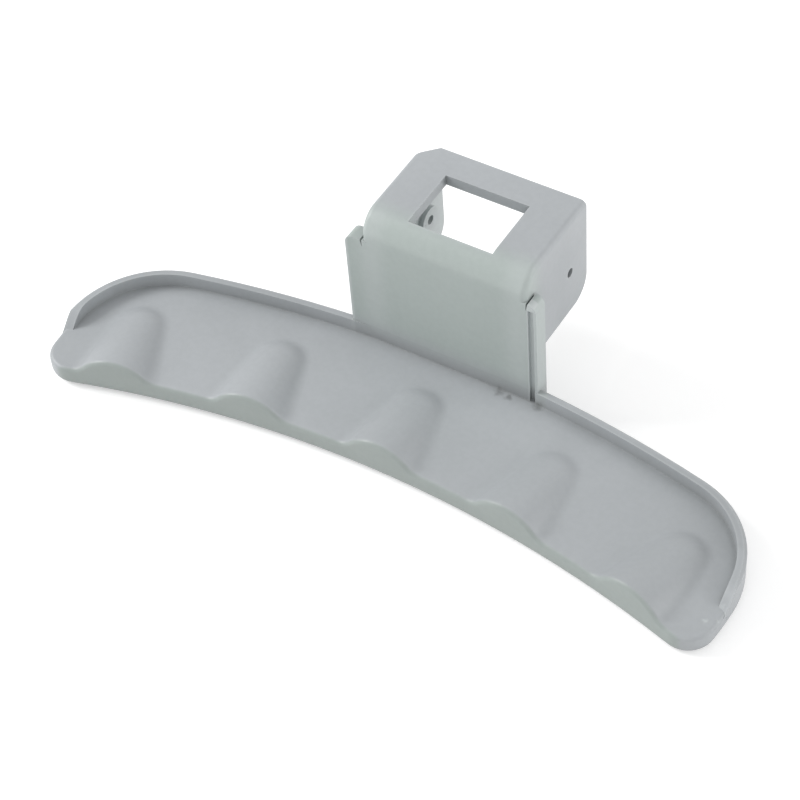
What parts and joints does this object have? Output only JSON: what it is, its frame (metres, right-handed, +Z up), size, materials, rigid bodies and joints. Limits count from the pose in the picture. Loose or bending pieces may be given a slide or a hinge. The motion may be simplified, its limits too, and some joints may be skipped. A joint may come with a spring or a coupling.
{
  "type": "washing machine door handle",
  "caption": "Curved door handle moulding with a scalloped finger grip on one side and an open hinge box, bored for a pivot pin, behind its flat neck.",
  "frame": {"origin": "middle of the bounding box at its lowest face, with the handle lying on its show face", "axes": "+X along the grip and the pivot bore, +Y from the fingers towards the hinge box's open back, +Z up from the show face to the top of the hinge box"},
  "size_m": [0.1466, 0.0598, 0.0376],
  "materials": {
    "moulding": "satin"
  },
  "bodies": {
    "root": {"door_handle": "moulding"}
  },
  "joints": []
}
